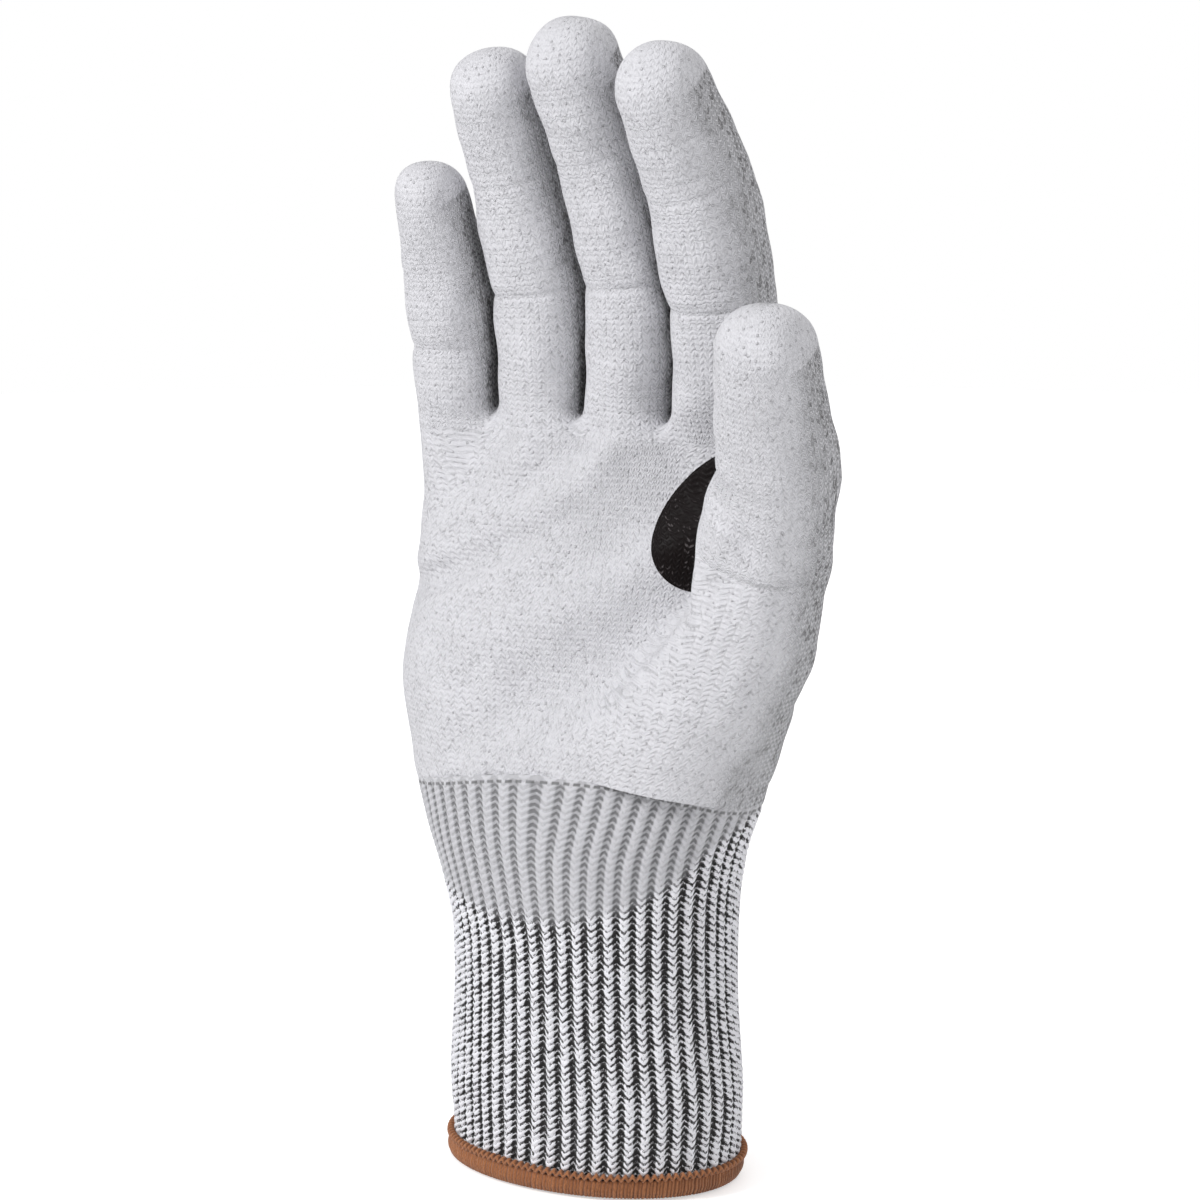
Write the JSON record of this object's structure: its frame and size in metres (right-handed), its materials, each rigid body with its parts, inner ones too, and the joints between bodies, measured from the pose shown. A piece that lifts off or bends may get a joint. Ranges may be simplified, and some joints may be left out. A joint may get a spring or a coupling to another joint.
{
  "type": "cut resistant glove",
  "caption": "Knitted right-hand safety glove with a dipped palm coat, ribbed cuff, dark thumb crotch patch and overlocked hem, bending at wrist and finger joints.",
  "frame": {"origin": "centre of the cuff opening, in the plane of the hem's lower edge", "axes": "+Z along the glove from the hem to the fingertips, the palm faces -Y, the thumb is on +X"},
  "size_m": [0.116, 0.0713, 0.2499],
  "materials": {
    "plain_knit": "plain salt and pepper knit of white and charcoal yarn",
    "rib_knit": "ribbed salt and pepper knit, light ribs and dark furrows",
    "pu_coat": "satin light grey polyurethane coat with the knit showing through",
    "nitrile_patch": "black, slightly glossy, with the knit showing through",
    "hem_thread": "brown overlock thread",
    "elastic_yarn": "off-white covered elastic yarn"
  },
  "bodies": {
    "cuff": {"rib_cuff": "rib_knit", "hem_binding": "hem_thread", "hem_chain": "hem_thread", "elastic_yarn_1": "elastic_yarn", "elastic_yarn_2": "elastic_yarn", "elastic_yarn_3": "elastic_yarn"},
    "wrist_band": {"rib_wrist": "rib_knit", "elastic_yarn_4": "elastic_yarn", "elastic_yarn_5": "elastic_yarn"},
    "palm": {"rib_upper": "rib_knit", "palm_liner": "plain_knit", "coat_tail": "pu_coat", "palm_coat": "pu_coat", "crotch_patch": "nitrile_patch"},
    "little_base": {"little_base_liner": "plain_knit", "little_base_coat": "pu_coat"},
    "little_middle": {"little_middle_liner": "plain_knit", "little_middle_coat": "pu_coat"},
    "little_tip": {"little_tip_liner": "plain_knit", "little_tip_coat": "pu_coat"},
    "ring_base": {"ring_base_liner": "plain_knit", "ring_base_coat": "pu_coat"},
    "ring_middle": {"ring_middle_liner": "plain_knit", "ring_middle_coat": "pu_coat"},
    "ring_tip": {"ring_tip_liner": "plain_knit", "ring_tip_coat": "pu_coat"},
    "middle_base": {"middle_base_liner": "plain_knit", "middle_base_coat": "pu_coat"},
    "middle_middle": {"middle_middle_liner": "plain_knit", "middle_middle_coat": "pu_coat"},
    "middle_tip": {"middle_tip_liner": "plain_knit", "middle_tip_coat": "pu_coat"},
    "index_base": {"index_base_liner": "plain_knit", "index_base_coat": "pu_coat"},
    "index_middle": {"index_middle_liner": "plain_knit", "index_middle_coat": "pu_coat"},
    "index_tip": {"index_tip_liner": "plain_knit", "index_tip_coat": "pu_coat"},
    "thumb_base": {"thumb_base_liner": "plain_knit", "thumb_base_coat": "pu_coat"},
    "thumb_tip": {"thumb_tip_liner": "plain_knit", "thumb_tip_coat": "pu_coat"}
  },
  "joints": [
    {"name": "wrist_deviation", "type": "hinge", "parent": "cuff", "child": "wrist_band", "pos_m": [0, 0, 0.03], "axis": [0, 1, 0], "range_deg": [-20, 20], "stiffness_Nm_per_rad": 0.3},
    {"name": "wrist_flex", "type": "hinge", "parent": "wrist_band", "child": "palm", "pos_m": [0, 0, 0.056], "axis": [1, 0, 0], "range_deg": [-40, 45], "stiffness_Nm_per_rad": 0.3},
    {"name": "little_base_bend", "type": "hinge", "parent": "palm", "child": "little_base", "pos_m": [-0.0335, -0.002, 0.16], "axis": [1, 0, 0], "range_deg": [-10, 60], "stiffness_Nm_per_rad": 0.03},
    {"name": "little_middle_bend", "type": "hinge", "parent": "little_base", "child": "little_middle", "pos_m": [-0.0335, -0.00336, 0.17945], "axis": [1, 0, 0], "range_deg": [-8, 65], "stiffness_Nm_per_rad": 0.03},
    {"name": "little_tip_bend", "type": "hinge", "parent": "little_middle", "child": "little_tip", "pos_m": [-0.0335, -0.007, 0.19657], "axis": [1, 0, 0], "range_deg": [-6, 35], "stiffness_Nm_per_rad": 0.03},
    {"name": "ring_base_bend", "type": "hinge", "parent": "palm", "child": "ring_base", "pos_m": [-0.0125, 0.001, 0.167], "axis": [0.999, 0, 0.0436], "range_deg": [-10, 60], "stiffness_Nm_per_rad": 0.03},
    {"name": "ring_middle_bend", "type": "hinge", "parent": "ring_base", "child": "ring_middle", "pos_m": [-0.01359, -0.00118, 0.19188], "axis": [0.999, 0, 0.0436], "range_deg": [-8, 65], "stiffness_Nm_per_rad": 0.03},
    {"name": "ring_tip_bend", "type": "hinge", "parent": "ring_middle", "child": "ring_tip", "pos_m": [-0.01464, -0.00723, 0.21612], "axis": [0.999, 0, 0.0436], "range_deg": [-6, 35], "stiffness_Nm_per_rad": 0.03},
    {"name": "middle_base_bend", "type": "hinge", "parent": "palm", "child": "middle_base", "pos_m": [0.0085, 0.002, 0.168], "axis": [0.999, 0, 0.0436], "range_deg": [-10, 60], "stiffness_Nm_per_rad": 0.03},
    {"name": "middle_middle_bend", "type": "hinge", "parent": "middle_base", "child": "middle_middle", "pos_m": [0.00735, -0.00077, 0.19433], "axis": [0.999, 0, 0.0436], "range_deg": [-8, 65], "stiffness_Nm_per_rad": 0.03},
    {"name": "middle_tip_bend", "type": "hinge", "parent": "middle_middle", "child": "middle_tip", "pos_m": [0.00615, -0.00815, 0.22183], "axis": [0.999, 0, 0.0436], "range_deg": [-6, 35], "stiffness_Nm_per_rad": 0.03},
    {"name": "index_base_bend", "type": "hinge", "parent": "palm", "child": "index_base", "pos_m": [0.031, 0, 0.166], "axis": [0.9962, 0, 0.0872], "range_deg": [-10, 60], "stiffness_Nm_per_rad": 0.03},
    {"name": "index_middle_bend", "type": "hinge", "parent": "index_base", "child": "index_middle", "pos_m": [0.02884, -0.00305, 0.19072], "axis": [0.9962, 0, 0.0872], "range_deg": [-8, 65], "stiffness_Nm_per_rad": 0.03},
    {"name": "index_tip_bend", "type": "hinge", "parent": "index_middle", "child": "index_tip", "pos_m": [0.02663, -0.01079, 0.21596], "axis": [0.9962, 0, 0.0872], "range_deg": [-6, 35], "stiffness_Nm_per_rad": 0.03},
    {"name": "thumb_base_extend", "type": "hinge", "parent": "palm", "child": "thumb_base", "pos_m": [0.048, -0.016, 0.142], "axis": [-0.7098, 0.5323, 0.4614], "range_deg": [-30, 15], "stiffness_Nm_per_rad": 0.05},
    {"name": "thumb_tip_extend", "type": "hinge", "parent": "thumb_base", "child": "thumb_tip", "pos_m": [0.0545, -0.0225, 0.1595], "axis": [-0.7407, 0.5555, 0.3779], "range_deg": [-50, 10], "stiffness_Nm_per_rad": 0.05}
  ]
}
